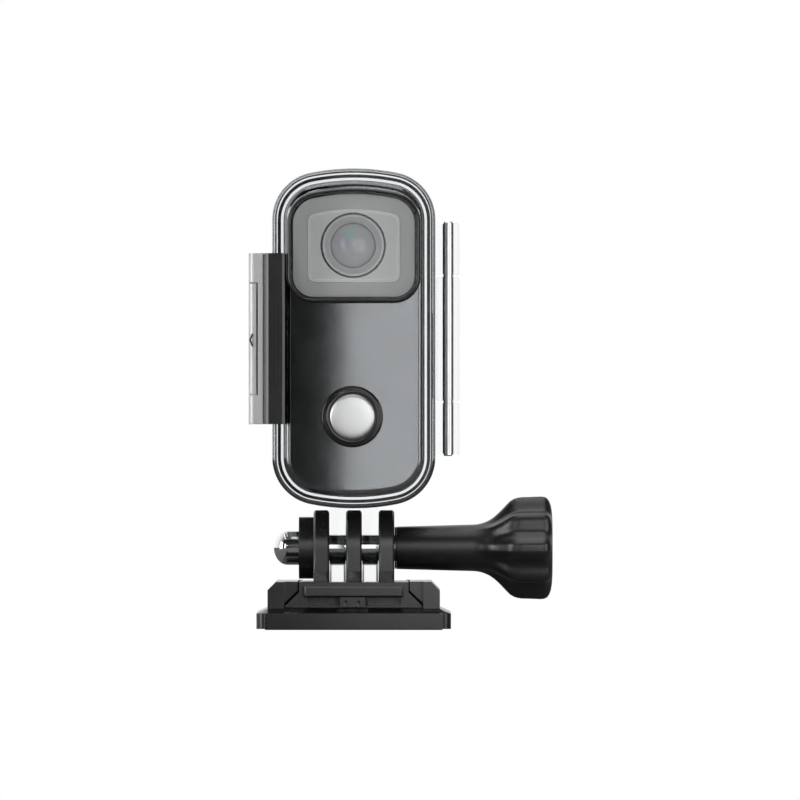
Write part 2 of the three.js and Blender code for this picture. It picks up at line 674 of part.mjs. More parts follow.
const innerLens = () =>
  lensTurned([[0, -8.95], [2.4, -8.65], [3.6, -8.2], [4.2, -7.8], [4.2, -7.1], [0, -7.1]], 24);

const rearLens = () =>
  lensTurned([[0, -3.2], [2.4, -3], [2.9, -2.8], [2.9, -2], [0, -2]], 16);

function lensBarrel() {
  return lensTurned([
    [4.9, -9.1], [5.5, -9.1], [5.5, -0.2], [3, -0.2], [3, -1.9], [3, -3.4], [2.2, -4.5],
    [2.2, -6.2], [3.6, -7.05], [4.3, -7.05], [4.3, -8.2], [4.9, -9.1],
  ], 24);
}

const sensorChip = () => box(-3.6, 3.4, 0, 0.8, 70, 76);
const sensorBoard = () => box(-6.1, 5.9, 0.85, 1.85, 67, 79);
const mainBoard = () => box(-7.2, 7.2, -6.15, -5.05, 32, 62);
const processor = () => box(-4, 4, -5, -4, 48, 56);
const memoryCard = () => box(-5.5, 5.5, 2, 3, 57.5, 65.5);

function battery() {
  const section = roundedRect(7, 12.5, 1.2, 3).map((p) => new THREE.Vector2(p.x, p.y + 41.5));
  return plateY(section, -3.6, 8);
}

const buttonSwitch = () =>
  box(BUTTON.x - 2, BUTTON.x + 2, -7.2, -6.2, BUTTON.z - 2, BUTTON.z + 2);

function cameraButton() {
  const profile = [[0, -10.35], [2.5, -10.35], [2.5, -8.45], [3.2, -8.45], [3.2, -8], [0, -8]];
  return turnedY(profile, BUTTON, 24);
}

// ---- The assembly

place("adhesive_pad", adhesivePad(), "foam");
place("mount_base", mountBase(), "black");
place("buckle", buckle(), "black");
place("captive_nut", captiveNut(), "chrome");
place("thrust_washer", washer(), "black");
place("screw_stud", stud(), "chrome");
place("screw_knob", knob(), "blackGloss");
place("front_shell", frontShell(), "clear");
place("lens_window", lensWindow(), "clear");
place("window_frame", windowFrame(), "blackGloss");
place("window_gasket", windowGasket(), "rubber");
place("hinge_pin", hingePin(), "steel");
place("rear_door", rearDoor(), "clear");
place("door_gasket", doorGasket(), "rubber");
place("door_cushion", doorCushion(), "foam");
place("latch_catch", latchCatch(), "blackGloss");
place("latch_clip", latchClip(), "grey");
place("latch_pin", latchPin(), "steel");
place("lock_slider", lockSlider(), "grey");
place("slider_mark", sliderMark(), "black");
place("button_collar", buttonCollar(), "blackGloss");
place("button_o_ring", oRing(), "rubber");
place("button_cap", buttonCap(), "steel");
place("button_stem", buttonStem(), "steel");
place("button_spring", buttonSpring(), "steel");
place("stem_clip", stemClip(), "steel");
place("camera_front_shell", cameraFrontShell(), "cameraBody");
place("camera_rear_shell", cameraRearShell(), "cameraBody");
SCREWS.forEach((spot, i) => place(`camera_screw_${i + 1}`, cameraScrew(spot), "steel"));
place("port_cover", portCover(), "black");
place("lens_panel", lensPanel(), "panel");
place("lens_mask", lensMask(), "blackGloss");
place("lens_ring", lensRing(), "blackGloss");
place("front_glass", frontGlass(), "lens");
place("inner_lens", innerLens(), "lens");
place("rear_lens", rearLens(), "lens");
place("lens_barrel", lensBarrel(), "black");
place("sensor_chip", sensorChip(), "board");
place("sensor_board", sensorBoard(), "board");
place("main_board", mainBoard(), "board");
place("processor", processor(), "black");
place("battery", battery(), "battery");
place("memory_card", memoryCard(), "black");
place("button_switch", buttonSwitch(), "black");
place("camera_button", cameraButton(), "rubber");

export default group;
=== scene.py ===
"""A thumb-size action camera in its clear waterproof case, on a quick-release buckle and a base.

Lengths in this script are millimetres in the frame of the CAD part. They become metres as meshes are made.
"""

import math

import bmesh
import bpy
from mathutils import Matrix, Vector


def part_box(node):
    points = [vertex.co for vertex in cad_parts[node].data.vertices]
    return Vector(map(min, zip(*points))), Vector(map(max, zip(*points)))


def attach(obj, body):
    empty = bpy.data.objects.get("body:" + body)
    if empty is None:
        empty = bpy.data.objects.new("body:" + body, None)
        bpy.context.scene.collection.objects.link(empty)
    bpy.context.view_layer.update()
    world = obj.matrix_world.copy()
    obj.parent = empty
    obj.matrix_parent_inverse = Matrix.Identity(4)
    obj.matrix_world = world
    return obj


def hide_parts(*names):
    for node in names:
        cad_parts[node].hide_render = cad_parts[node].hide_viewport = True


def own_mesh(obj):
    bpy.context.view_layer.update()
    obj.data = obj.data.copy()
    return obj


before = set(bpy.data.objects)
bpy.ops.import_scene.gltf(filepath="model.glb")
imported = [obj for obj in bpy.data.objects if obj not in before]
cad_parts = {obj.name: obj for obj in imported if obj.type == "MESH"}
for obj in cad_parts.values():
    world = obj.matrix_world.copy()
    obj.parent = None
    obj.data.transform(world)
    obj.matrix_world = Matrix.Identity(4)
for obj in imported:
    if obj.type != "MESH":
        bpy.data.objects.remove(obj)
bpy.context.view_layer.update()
MM = 0.001
FLAT = math.inf


class Span:
    """The box of a CAD node at rest, in millimetres."""

    def __init__(self, node):
        low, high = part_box(node)
        self.x0, self.y0, self.z0 = (c / MM for c in low)
        self.x1, self.y1, self.z1 = (c / MM for c in high)
        self.cx = (self.x0 + self.x1) / 2
        self.cy = (self.y0 + self.y1) / 2
        self.cz = (self.z0 + self.z1) / 2


# ---- Places and sizes read from the frame

shell_box = Span("front_shell")
door_box = Span("rear_door")
gasket_box = Span("door_gasket")
cushion_box = Span("door_cushion")
bezel_box = Span("window_frame")
pane_box = Span("lens_window")
window_seal_box = Span("window_gasket")
body_box = Span("camera_front_shell")
back_box = Span("camera_rear_shell")
mask_box = Span("lens_mask")
ring_box = Span("lens_ring")
glass_box = Span("front_glass")
inner_box = Span("inner_lens")
collar_box = Span("button_collar")
cap_box = Span("button_cap")
hinge_pin_box = Span("hinge_pin")
latch_pin_box = Span("latch_pin")
clip_box = Span("latch_clip")
slider_box = Span("lock_slider")
catch_box = Span("latch_catch")
nut_box = Span("captive_nut")
stud_box = Span("screw_stud")
knob_box = Span("screw_knob")

LENS = (ring_box.cx, ring_box.cz)
BUTTON = (collar_box.cx, collar_box.cz)
HINGE = (hinge_pin_box.cx, hinge_pin_box.cy)
LATCH_PIVOT = (latch_pin_box.cx, latch_pin_box.cy)
TILT_Z = stud_box.cz
SPLIT = gasket_box.y0
BODY_INSET = body_box.x0 - shell_box.x0

# ---- Driving sizes of the visual model

CASE_WALL = 1.9
BODY_WALL = 1.3
CASE_FACE = -12.5
CASE_SIDE = 15.52
BEZEL_LAP = 1.3
WINDOW_POCKET = 1.4
SEAL_INSETS = (0.95, 1.58)
END_KNUCKLES = ((33.2, 43.2), (67.4, 77.4))
MIDDLE_KNUCKLE = (43.45, 67.15)
KNUCKLE_R = 2.2
FRONT_WEB = (-1.9, -0.1)
DOOR_WEB = (0.1, 2.1)
LATCH_LUGS = ((45, 49), (61.5, 65.5))
LUG_R = 1.45
LATCH_BORE = 0.75
CLEAR_FINGERS = (-3.1, 3.1)
CLEAR_FINGER = {"thick": 3.0, "r": 7.2, "rear": 3.9, "root": 24.2, "soft": 0.35}
SCREW_R = 2.5
NUT_R = 3.25
NUT_ACROSS = 8
LINE_OUTSET = 0.38
RIM_R = 6.15
GLASS_R = 5.38
INNER_GLASS_R = 4.2

CASE = {
    "half": -shell_box.x0, "top": door_box.z1, "bottom": door_box.z0,
    "crown": 42, "corner": 9, "low_crown": 42, "low_corner": 9,
}
WINDOW = {
    "half": (bezel_box.x1 - bezel_box.x0) / 2 - BEZEL_LAP,
    "top": bezel_box.z1 - BEZEL_LAP, "bottom": bezel_box.z0 + BEZEL_LAP,
    "crown": 37.05, "corner": 4.8, "low_crown": FLAT, "low_corner": 3.8,
}
MASK = {
    "half": (mask_box.x1 - mask_box.x0) / 2, "top": mask_box.z1, "bottom": mask_box.z0,
    "crown": 33.9, "corner": 1.2, "low_crown": FLAT, "low_corner": 1,
}
CORNER_STEPS = 16
CROWN_STEPS = 24
CAMERA = {key: size + BODY_INSET if key == "bottom" else size - BODY_INSET for key, size in CASE.items()}


# ---- Points

def arc(cx, cz, r, start, end, steps):
    angles = (start + (end - start) * i / steps for i in range(steps + 1))
    return [(cx + r * math.cos(a), cz + r * math.sin(a)) for a in angles]


def end_points(half, edge, crown, corner):
    """One end of an outline, from its right side to its left: a corner, a crowned or flat end, a corner."""
    flat = crown == FLAT
    cx = half - corner
    crown_z = 0 if flat else edge - crown
    cz = edge - corner if flat else crown_z + math.sqrt((crown - corner) ** 2 - cx ** 2)
    lean = math.pi / 2 if flat else math.atan2(cz - crown_z, cx)
    points = arc(cx, cz, corner, 0, lean, CORNER_STEPS)
    if flat:
        points += [(cx * (1 - 2 * i / CROWN_STEPS), edge) for i in range(1, CROWN_STEPS)]
    else:
        points += arc(0, crown_z, crown, lean, math.pi - lean, CROWN_STEPS)[1:-1]
    return points + arc(-cx, cz, corner, math.pi - lean, math.pi, CORNER_STEPS)


def outline(spec, inset=0):
    """The outline shrunk by inset. It has as many points at every inset, so that loops can be joined."""
    half = spec["half"] - inset
    top_corner = max(spec["corner"] - inset, 0.05)
    low_corner = max(spec["low_corner"] - inset, 0.05)
    top = end_points(half, spec["top"] - inset, spec["crown"] - inset, top_corner)
    low = end_points(half, -spec["bottom"] - inset, spec["low_crown"] - inset, low_corner)
    return top + [(-x, -z) for x, z in low]


def circle(cx, cz, r, steps=64):
    return arc(cx, cz, r, 0, 2 * math.pi, steps)[:-1]


def at_y(points, y):
    return [(x, y, z) for x, z in points]


def at_x(points, x):
    """Points are (y, z)."""
    return [(x, y, z) for y, z in points]


def at_z(points, z):
    """Points are (x, y)."""
    return [(x, y, z) for x, y in points]


# ---- Meshes

def mesh_from(verts, faces, name):
    mesh = bpy.data.meshes.new(name)
    mesh.from_pydata([tuple(c * MM for c in v) for v in verts], [], faces)
    bm = bmesh.new()
    bm.from_mesh(mesh)
    bmesh.ops.remove_doubles(bm, verts=bm.verts, dist=1e-7)
    bmesh.ops.recalc_face_normals(bm, faces=bm.faces)
    bm.to_mesh(mesh)
    bm.free()
    return mesh


def loft(loops, ring=False):
    """A skin through loops of equal point counts: ended by caps, or joined last to first if ring."""
    count = len(loops[0])
    verts = [v for loop in loops for v in loop]
    faces = []
    for k in range(len(loops) if ring else len(loops) - 1):
        a = k * count
        b = ((k + 1) % len(loops)) * count
        for i in range(count):
            j = (i + 1) % count
            faces.append((a + i, a + j, b + j, b + i))
    if not ring:
        faces.append(tuple(range(count)))
        faces.append(tuple(reversed(range((len(loops) - 1) * count, len(loops) * count))))
    return mesh_from(verts, faces, "loft")


def rounding(inset, face, r, sign, steps=6):
    """(inset, place) from the side wall round to the face. sign is +1 where the body lies beyond the face."""
    turn = [math.pi / 2 * i / steps for i in range(steps + 1)]
    return [(inset + r * (1 - math.cos(a)), face + sign * r * (1 - math.sin(a))) for a in turn]


def plate(spec, low, high, r_low=0.0, r_high=0.0, inset=0.0):
    """A plate of an outline along Y with rounded edges."""
    front = list(reversed(rounding(inset, low, r_low, 1))) if r_low else [(inset, low)]
    back = rounding(inset, high, r_high, -1) if r_high else [(inset, high)]
    return loft([at_y(outline(spec, d), y) for d, y in front + back])


def prism(points, low, high, place):
    """The points carried from low to high along the axis of place, which is at_x, at_y or at_z."""
    return loft([place(points, low), place(points, high)])


def block(x0, x1, y0, y1, z0, z1):
    return prism([(x0, y0), (x1, y0), (x1, y1), (x0, y1)], z0, z1, at_z)


def round_bore(centre, r, low, high, place, steps=64):
    return prism(circle(*centre, r, steps), low, high, place)


def revolve(profile, centre, axis, steps=96, shape=None):
    """Turns (radius, place along the axis) corners about a line along X, Y or Z through centre.

    shape(radius, place, angle) may change the radius. A profile that starts and ends off the axis
    is closed as a ring.
    """
    loops = []
    for r, along in profile:
        loop = []
        for i in range(steps):
            a = 2 * math.pi * i / steps
            radius = shape(r, along, a) if shape else r
            u = centre[0] + radius * math.cos(a)
            v = centre[1] + radius * math.sin(a)
            loop.append({"X": (along, u, v), "Y": (u, along, v), "Z": (u, v, along)}[axis])
        loops.append(loop)
    hollow = profile[0][0] > 0 and profile[-1][0] > 0
    return loft(loops, ring=hollow)


def ring_of(spec, outer, inner, low, high, r=0.0):
    """A ring between two insets of an outline, with its edges at low rounded by r."""
    turn = rounding(0, low, r, 1) if r else [(0, low)]
    profile = [(outer, high)]
    profile += [(outer + d, y) for d, y in turn]
    profile += [(inner - d, y) for d, y in reversed(turn)]
    profile += [(inner, high)]
    return loft([at_y(outline(spec, d), y) for d, y in profile], ring=True)


def helper(mesh):
    thing = bpy.data.objects.new(mesh.name, mesh)
    bpy.context.scene.collection.objects.link(thing)
    return thing


def combine(mesh, tools, operation):
    """The mesh with each tool mesh cut away or added, as operation says."""
    target = helper(mesh)
    helpers = [helper(tool) for tool in tools]
    for tool in helpers:
        step = target.modifiers.new("step", "BOOLEAN")
        step.operation = operation
        step.object = tool
        step.solver = "EXACT"
    graph = bpy.context.evaluated_depsgraph_get()
    made = bpy.data.meshes.new_from_object(target.evaluated_get(graph))
    for thing in [target, *helpers]:
        bpy.data.objects.remove(thing)
    return made


def cut(mesh, *tools):
    return combine(mesh, tools, "DIFFERENCE")


def add(mesh, *tools):
    return combine(mesh, tools, "UNION")


def copy_of(node, degrees=0.5):
    """The mesh of a CAD node as clean faces, for a piece that takes its edges further."""
    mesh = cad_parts[node].data.copy()
    bm = bmesh.new()
    bm.from_mesh(mesh)
    bmesh.ops.remove_doubles(bm, verts=bm.verts, dist=2e-6)
    bmesh.ops.dissolve_limit(
        bm, angle_limit=math.radians(degrees), use_dissolve_boundaries=False, verts=bm.verts, edges=bm.edges
    )
    bm.to_mesh(mesh)
    bm.free()
    return mesh


def piece(name, mesh, rides, material, nodes=(), bevel=0.0, angle=32):
    """A finished piece: smooth between edges sharper than angle, bevelled, and tied to the frame."""
    mesh.name = name
    thing = helper(mesh)
    thing.name = name
    mesh.materials.clear()
    mesh.materials.append(material)
    mesh.shade_smooth()
    mesh.set_sharp_from_angle(angle=math.radians(angle))
    if bevel:
        edge = thing.modifiers.new("edge", "BEVEL")
        edge.width = bevel * MM
        edge.segments = 3
        edge.limit_method = "ANGLE"
        edge.angle_limit = math.radians(angle)
        edge.miter_outer = "MITER_ARC"
    weigh = thing.modifiers.new("weigh", "WEIGHTED_NORMAL")
    weigh.keep_sharp = not bevel
    weigh.weight = 80
    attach(thing, rides)
    if nodes:
        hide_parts(*nodes)
    return thing


# ---- Materials

def any_ray(tree, *kinds):
    """One where a ray is of any of these kinds, such as Is Shadow Ray, and zero elsewhere."""
    rays = tree.nodes.new("ShaderNodeLightPath")
    found = rays.outputs[kinds[0]]
    for kind in kinds[1:]:
        either = tree.nodes.new("ShaderNodeMath")
        either.operation = "MAXIMUM"
        tree.links.new(found, either.inputs[0])
        tree.links.new(rays.outputs[kind], either.inputs[1])
        found = either.outputs["Value"]
    return found


def output_mix(tree, factor, usual, other, output):
    """Sends the usual shader to the output, and the other one where factor is one."""
    mix = tree.nodes.new("ShaderNodeMixShader")
    tree.links.new(factor, mix.inputs["Fac"])
    tree.links.new(usual, mix.inputs[1])
    tree.links.new(other, mix.inputs[2])
    tree.links.new(mix.outputs["Shader"], output.inputs["Surface"])


class Nodes:
    """A material's node tree with short calls to add and link nodes."""

    SOCKETS = {
        "metallic": "Metallic", "ior": "IOR", "coat": "Coat Weight", "coat_roughness": "Coat Roughness",
        "transmission": "Transmission Weight", "specular": "Specular IOR Level",
    }

    def __init__(self, name):
        self.material = bpy.data.materials.new(name)
        self.material.use_nodes = True
        self.tree = self.material.node_tree
        self.shader = self.tree.nodes["Principled BSDF"]
        self.place = self.add("ShaderNodeTexCoord").outputs["Object"]

    def add(self, kind, **settings):
        node = self.tree.nodes.new(kind)
        for key, value in settings.items():
            setattr(node, key, value)
        return node

    def link(self, source, socket):
        self.tree.links.new(source, socket)

    def set(self, **values):
        for key, value in values.items():
            self.shader.inputs[self.SOCKETS[key]].default_value = value

    def colour_from(self, source):
        self.link(source, self.shader.inputs["Base Color"])

    def roughness_from(self, source):
        self.link(source, self.shader.inputs["Roughness"])

    def noise(self, scale, detail=3.0, roughness=0.5):
        node = self.add("ShaderNodeTexNoise")
        node.inputs["Scale"].default_value = scale
        node.inputs["Detail"].default_value = detail
        node.inputs["Roughness"].default_value = roughness
        self.link(self.place, node.inputs["Vector"])
        return node.outputs["Fac"]

    def ramp(self, factor, stops):
        node = self.add("ShaderNodeValToRGB")
        ramp = node.color_ramp
        while len(ramp.elements) < len(stops):
            ramp.elements.new(0.5)
        for element, (place, colour) in zip(ramp.elements, stops):
            element.position = place
            element.color = (*colour, 1)
        self.link(factor, node.inputs["Fac"])
        return node.outputs["Color"]

    def remap(self, factor, low, high, from_low=0.3, from_high=0.7):
        node = self.add("ShaderNodeMapRange")
        node.inputs["From Min"].default_value = from_low
        node.inputs["From Max"].default_value = from_high
        node.inputs["To Min"].default_value = low
        node.inputs["To Max"].default_value = high
        self.link(factor, node.inputs["Value"])
        return node.outputs["Result"]

    def bump(self, height, strength, distance):
        node = self.add("ShaderNodeBump")
        node.inputs["Strength"].default_value = strength
        node.inputs["Distance"].default_value = distance
        self.link(height, node.inputs["Height"])
        self.link(node.outputs["Normal"], self.shader.inputs["Normal"])

    def distance_from(self, x, z):
        """The distance from a line along Y through x, z in millimetres."""
        offset = self.add("ShaderNodeVectorMath", operation="SUBTRACT")
        self.link(self.place, offset.inputs[0])
        offset.inputs[1].default_value = (x * MM, 0, z * MM)
        flat = self.add("ShaderNodeVectorMath", operation="MULTIPLY")
        self.link(offset.outputs["Vector"], flat.inputs[0])
        flat.inputs[1].default_value = (1, 0, 1)
        length = self.add("ShaderNodeVectorMath", operation="LENGTH")
        self.link(flat.outputs["Vector"], length.inputs[0])
        return length.outputs["Value"]


def grey(value):
    return (value, value, value)


def tone(colour, factor):
    return tuple(min(c * factor, 1) for c in colour)


def moulded(name, colour, rough, spread=0.15, grain=2600, depth=0.000004, strength=0.12, **values):
    """A moulded plastic or painted surface: slight mottling, uneven gloss and a fine grain."""
    n = Nodes(name)
    blotches = [(0.3, tone(colour, 1 - spread)), (0.7, tone(colour, 1 + spread))]
    n.colour_from(n.ramp(n.noise(90, 4, 0.6), blotches))
    n.roughness_from(n.remap(n.noise(240, 5, 0.65), rough * 0.85, rough * 1.15))
    if strength:
        n.bump(n.noise(grain, 2, 0.5), strength, depth)
    n.set(**values)
    return n.material


def clear(name, tint, rough, ior):
    """Clear plastic that lets the lamps' light, and the reflections of what is inside, straight through."""
    n = Nodes(name)
    n.colour_from(n.ramp(n.noise(70, 3), [(0.3, tone(tint, 0.985)), (0.7, tint)]))
    n.roughness_from(n.remap(n.noise(150, 4), rough * 0.6, rough * 1.4))
    n.set(transmission=1, ior=ior)
    through = n.add("ShaderNodeBsdfTransparent")
    through.inputs["Color"].default_value = (*tone(tint, 0.97), 1)
    bounced = any_ray(n.tree, "Is Glossy Ray", "Is Diffuse Ray", "Is Shadow Ray")
    output = n.tree.nodes["Material Output"]
    output_mix(n.tree, bounced, n.shader.outputs["BSDF"], through.outputs["BSDF"], output)
    return n.material


def glass_with_painted_glints(name, centre):
    """Lens glass: a grey disc with a violet and a teal patch of painted coating reflection and a small
    painted highlight (glint).
    """
    n = Nodes(name)
    # The first spot is the glass's own grey middle; the violet and teal patches are painted reflections of
    # the coating, and the small white dot is a painted highlight.
    disc_and_painted_glints = [
        ((0.0, 0.0), 4.3, (0.82, 0.82, 0.83)),
        ((-2.0, 0.7), 1.7, (0.8, 0.7, 0.9)),
        ((-0.6, 2.1), 1.5, (0.6, 0.97, 0.9)),
        ((0.15, 0.25), 0.45, grey(1.0)),
    ]
    colour = None
    for (dx, dz), reach, middle in disc_and_painted_glints:
        distance = n.distance_from(centre[0] + dx, centre[1] + dz)
        mix = n.add("ShaderNodeMix", data_type="RGBA")
        n.link(n.remap(distance, 1.0, 0.0, 0.0, reach * MM), mix.inputs["Factor"])
        if colour is None:
            mix.inputs["A"].default_value = (0.88, 0.88, 0.89, 1)
        else:
            n.link(colour, mix.inputs["A"])
        mix.inputs["B"].default_value = (*middle, 1)
        colour = mix.outputs["Result"]
    n.colour_from(colour)
    n.roughness_from(n.remap(n.noise(500, 3), 0.03, 0.06))
    n.set(coat=0.6, coat_roughness=0.03, ior=1.5)
    return n.material


def pin_painted_light_and_shade(name):
    """Polished steel in its bore, with its light and shade painted into the colour: bright where it faces the
    eye, dark where it turns away into the gap.
    """
    n = Nodes(name)
    facing = n.add("ShaderNodeLayerWeight")
    facing.inputs["Blend"].default_value = 0.5
    # A painted highlight where the rod faces the eye, and painted shade where it turns away.
    stops = [(0.0, grey(0.95)), (0.45, grey(0.9)), (0.7, grey(0.03))]
    n.colour_from(n.ramp(facing.outputs["Facing"], stops))
    n.roughness_from(n.remap(n.noise(300, 3), 0.28, 0.36))
    n.set(metallic=1)
    return n.material


def chrome_plate(name):
    n = Nodes(name)
    n.colour_from(n.ramp(n.noise(130, 3), [(0.3, (0.72, 0.73, 0.74)), (0.7, (0.8, 0.81, 0.82))]))
    n.roughness_from(n.remap(n.noise(400, 4), 0.05, 0.1))
    n.set(metallic=1)
    return n.material


def brushed(name, colour, centre):
    """Brushed metal whose fine lines run round a centre in the XZ plane."""
    n = Nodes(name)
    lines = n.add("ShaderNodeTexNoise", noise_dimensions="1D")
    lines.inputs["Scale"].default_value = 9000
    lines.inputs["Detail"].default_value = 2
    n.link(n.distance_from(*centre), lines.inputs["W"])
    lightness = lines.outputs["Fac"]
    n.colour_from(n.ramp(lightness, [(0.3, tone(colour, 0.96)), (0.7, tone(colour, 1.03))]))
    n.roughness_from(n.remap(lightness, 0.36, 0.46))
    n.bump(lightness, 0.05, 0.000001)
    n.set(metallic=1)
    return n.material


SMOOTH_GRAIN = {"depth": 0.0000005, "strength": 0.03}

CLEAR = clear("clear_polycarbonate", (0.975, 0.985, 0.99), 0.08, 1.3)
CLEAR_HINGE = clear("clear_hinge", (0.98, 0.985, 0.99), 0.07, 1.22)
WINDOW_CLEAR = clear("window_acrylic", (0.97, 0.975, 0.975), 0.09, 1.35)
FRONT_LENS = clear("front_lens_glass", (0.95, 0.955, 0.96), 0.06, 1.12)
BLACK_GLOSS = moulded(
    "gloss_black", (0.008, 0.008, 0.009), 0.22, spread=0.2, strength=0.04, coat=0.4, coat_roughness=0.08
)
BLACK = moulded("satin_black", (0.012, 0.012, 0.0125), 0.29, spread=0.18, specular=0.9)
BASE_BLACK = moulded("base_black", (0.01, 0.01, 0.0105), 0.21, specular=0.85)
KNOB_BLACK = moulded("knob_black", (0.014, 0.014, 0.015), 0.34, grain=1800, strength=0.08, specular=0.75)
LATCH_GREY = moulded("latch_grey", (0.7, 0.705, 0.71), 0.34, spread=0.03, metallic=0.25)
BODY_PAINT = moulded(
    "camera_paint", (0.2, 0.201, 0.204), 0.115, spread=0.03, strength=0,
    metallic=1.0, coat=0.2, coat_roughness=0.12,
)
COVER = moulded("lens_cover", grey(0.57), 0.5, spread=0.02, **SMOOTH_GRAIN)
COVER_LIGHT = moulded("lens_surround", grey(0.76), 0.45, spread=0.02, **SMOOTH_GRAIN)
LINE_GREY = moulded("surround_edge", grey(0.96), 0.35, spread=0.02, **SMOOTH_GRAIN)
RUBBER = moulded("black_rubber", grey(0.012), 0.7, spread=0.2, grain=1500, depth=0.00001, strength=0.3)
FOAM = moulded("foam_tape", grey(0.03), 0.9, spread=0.3, grain=1200, depth=0.00004, strength=0.6)
BOARD = moulded("solder_mask", (0.02, 0.12, 0.06), 0.4, spread=0.25)
WRAP = moulded("battery_wrap", (0.03, 0.08, 0.2), 0.35, spread=0.1)
CHROME = chrome_plate("chrome")
STEEL = brushed("brushed_steel", (0.86, 0.865, 0.87), BUTTON)
# Lens glass with painted coating reflections and a painted highlight in its colour.
LENS_GLASS_PAINTED_GLINTS = glass_with_painted_glints("glass_with_painted_glints", LENS)
PIN_STEEL_PAINTED_LIGHT = pin_painted_light_and_shade("pin_painted_light_and_shade")


# ---- Waterproof case

def cup(spec, face, rim, wall, sign, edge, inner_edge):
    """Half of a case: a cup whose bottom is at face, rounded by edge, and whose open rim is at rim."""
    outer = [(0, rim)] + rounding(0, face, edge, sign, 8)
    inner = list(reversed(rounding(wall, face + sign * wall, inner_edge, sign, 6)))
    inner += [(wall, rim + 5 * sign)]
    outside = loft([at_y(outline(spec, d), y) for d, y in outer])
    inside = loft([at_y(outline(spec, d), y) for d, y in inner])
    return cut(outside, inside)


def clear_finger(middle):
    """A mount finger: a round end about the screw, straight at the front, with softened side edges."""
    r, rear, root, soft = (CLEAR_FINGER[key] for key in ("r", "rear", "root", "soft"))
    half = CLEAR_FINGER["thick"] / 2
    lean = math.acos(rear / r)
    side = arc(0, TILT_Z, r, math.pi, 2 * math.pi + lean, 60) + [(rear, root), (-r, root)]
    loops = []
    for x, inset in ((-half, soft), (-half + soft, 0), (half - soft, 0), (half, soft)):
        points = []
        for y, z in side:
            away = math.hypot(y, z - TILT_Z)
            k = (away - inset) / away
            points.append((y * k, TILT_Z + (z - TILT_Z) * k))
        loops.append(at_x(points, middle + x))
    return loft(loops)


def front_shell():
    made = cup(CASE, CASE_FACE, SPLIT - 0.05, CASE_WALL, 1, 0.9, 0.5)
    made = add(made, *(clear_finger(x) for x in CLEAR_FINGERS))
    outside = CASE_FACE - 1
    return cut(
        made,
        plate(WINDOW, outside, CASE_FACE + 1, inset=-WINDOW_POCKET),
        plate(WINDOW, outside, CASE_FACE + 3),
        round_bore(BUTTON, 5, outside, CASE_FACE + 0.5, at_y),
        round_bore(BUTTON, 3.3, outside, CASE_FACE + 3, at_y),
        round_bore((0, TILT_Z), SCREW_R + 0.2, -12, 12, at_x),
    )


def knuckle(low, high, web):
    """A hinge knuckle with its web, which starts at the case's side wall."""
    r, soft = KNUCKLE_R, 0.3
    corners = [(0, low), (r - soft, low), (r, low + soft), (r, high - soft), (r - soft, high), (0, high)]
    barrel = revolve(corners, HINGE, "Z", 64)
    arm = block(CASE_SIDE, HINGE[0], HINGE[1] + web[0], HINGE[1] + web[1], low, high)
    return cut(add(barrel, arm), round_bore(HINGE, 0.9, 30, 80, at_z, 32))


def rear_door():
    made = cup(CASE, door_box.y1, SPLIT, CASE_WALL, -1, 1.2, 0.5)
    x, y = LATCH_PIVOT
    lugs = []
    for low, high in LATCH_LUGS:
        lugs.append(block(x, -14.6, y - 1.4, y + 1.4, low, high))
        lugs.append(round_bore(LATCH_PIVOT, LUG_R, low, high, at_z, 32))
    outer, inner = SEAL_INSETS
    groove = ring_of(CASE, outer - 0.05, inner + 0.05, SPLIT - 1, SPLIT + 0.6)
    return cut(add(made, *lugs), groove, round_bore(LATCH_PIVOT, LATCH_BORE, 38, 73, at_z, 32))


def window_bezel():
    """The bezel: a rounded lip round the window, with a skirt in the case's pocket."""
    face, back, seat = bezel_box.y0, bezel_box.y1, -12.72
    profile = [
        (-0.75, back), (-1.3, back), (-1.3, face + 1.0), (-1.27, face + 0.7), (-1.2, face + 0.42),
        (-1.1, face + 0.2), (-0.98, face + 0.06), (-0.88, face), (-0.8, face), (-0.7, face + 0.07),
        (-0.59, face + 0.22), (-0.5, face + 0.45), (-0.45, face + 0.7), (-0.45, seat), (-0.75, seat),
    ]
    return loft([at_y(outline(WINDOW, d), y) for d, y in profile], ring=True)


def window_pane():
    return plate(WINDOW, pane_box.y0, pane_box.y1, 0.1, 0.1, -0.7)


def window_seal():
    return ring_of(WINDOW, -0.65, -0.1, window_seal_box.y0, window_seal_box.y1)


def door_seal():
    return ring_of(CASE, *SEAL_INSETS, gasket_box.y0 + 0.02, gasket_box.y1, 0.1)


def door_cushion():
    return ring_of(CASE, CASE_WALL + 0.12, 4.5, cushion_box.y0, cushion_box.y1, 0.15)


def pin(centre, r, low, high):
    soft = 0.2
    corners = [(0, low), (r - soft, low), (r, low + soft), (r, high - soft), (r - soft, high), (0, high)]
    return revolve(corners, centre, "Z", 40)


piece("case_front", front_shell(), "case", CLEAR, ["front_shell"], angle=40)
piece("case_door", rear_door(), "door", CLEAR, ["rear_door"], angle=40)
for i, (low, high) in enumerate(END_KNUCKLES):
    mesh = knuckle(low, high, FRONT_WEB)
    piece(f"hinge_knuckle_{i + 1}", mesh, "case", CLEAR_HINGE, angle=40)
mesh = knuckle(*MIDDLE_KNUCKLE, DOOR_WEB)
piece("hinge_knuckle_door", mesh, "door", CLEAR_HINGE, angle=40)
piece("window_bezel", window_bezel(), "case", BLACK_GLOSS, ["window_frame"], angle=40)
piece("window_pane", window_pane(), "case", WINDOW_CLEAR, ["lens_window"])
piece("window_seal", window_seal(), "case", RUBBER, ["window_gasket"])
piece("door_seal", door_seal(), "door", RUBBER, ["door_gasket"])
piece("door_cushion_pad", door_cushion(), "door", FOAM, ["door_cushion"])
mesh = pin(HINGE, 0.85, hinge_pin_box.z0, hinge_pin_box.z1)
